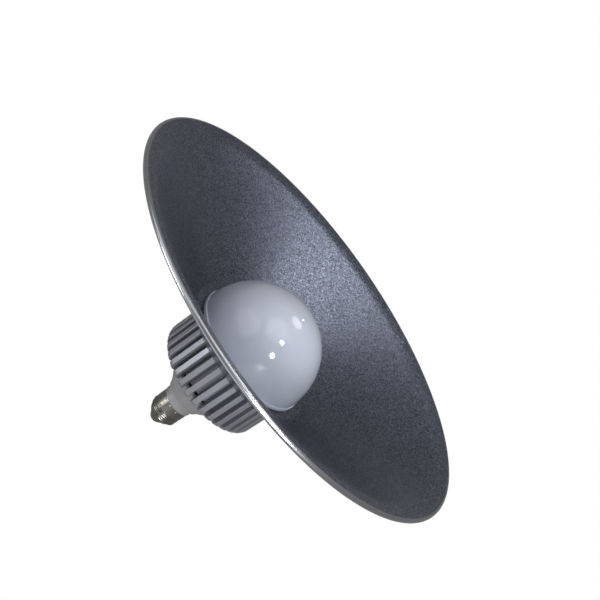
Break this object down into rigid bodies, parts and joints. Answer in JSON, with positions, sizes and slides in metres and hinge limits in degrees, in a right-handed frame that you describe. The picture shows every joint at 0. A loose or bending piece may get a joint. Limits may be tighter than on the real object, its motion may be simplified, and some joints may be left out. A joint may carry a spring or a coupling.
{
  "type": "high bay light",
  "caption": "LED high bay lamp with a screw cap, finned heat sink, milky dome and a wide spun metal shade.",
  "frame": {"origin": "centre of the shade's mouth, in the plane of its rolled rim", "axes": "+Z along the lamp's axis towards the screw cap; -Y runs through the middle of one fin"},
  "size_m": [0.35, 0.35, 0.161],
  "materials": {
    "cap_nickel": "satin",
    "cap_glass": "gloss",
    "housing_plastic": "satin",
    "sink_aluminium": "satin",
    "driver_plastic": "satin",
    "screw_steel": "satin",
    "board_laminate": "satin",
    "ferrite": "matt",
    "winding_tape": "gloss",
    "can_sleeve": "gloss",
    "moulding_black": "matt",
    "resistor_body": "gloss",
    "wire_red": "satin",
    "wire_black": "satin",
    "pad_silicone": "matt",
    "led_board_white": "satin",
    "led_phosphor": "gloss",
    "shade_paint": "hammered gloss",
    "dome_milk": "gloss"
  },
  "bodies": {
    "root": {"screw_shell": "cap_nickel", "cap_insulator": "cap_glass", "centre_contact": "cap_nickel", "neck_housing": "housing_plastic", "heat_sink": "sink_aluminium", "driver_cup": "driver_plastic", "housing_screws": "screw_steel", "driver_board": "board_laminate", "transformer_core": "ferrite", "transformer_winding": "winding_tape", "input_capacitor": "can_sleeve", "output_capacitor": "can_sleeve", "filter_inductor": "ferrite", "bridge_rectifier": "moulding_black", "switching_transistor": "moulding_black", "control_chip": "moulding_black", "fuse_resistor": "resistor_body", "live_wire": "wire_red", "neutral_wire": "wire_black", "led_wire_positive": "wire_red", "led_wire_negative": "wire_black", "thermal_pad": "pad_silicone", "led_board": "led_board_white", "led_chips": "led_phosphor", "led_board_screws": "screw_steel", "reflector_shade": "shade_paint", "shade_screws": "screw_steel", "dome_seal": "pad_silicone", "dome_diffuser": "dome_milk"}
  },
  "joints": []
}
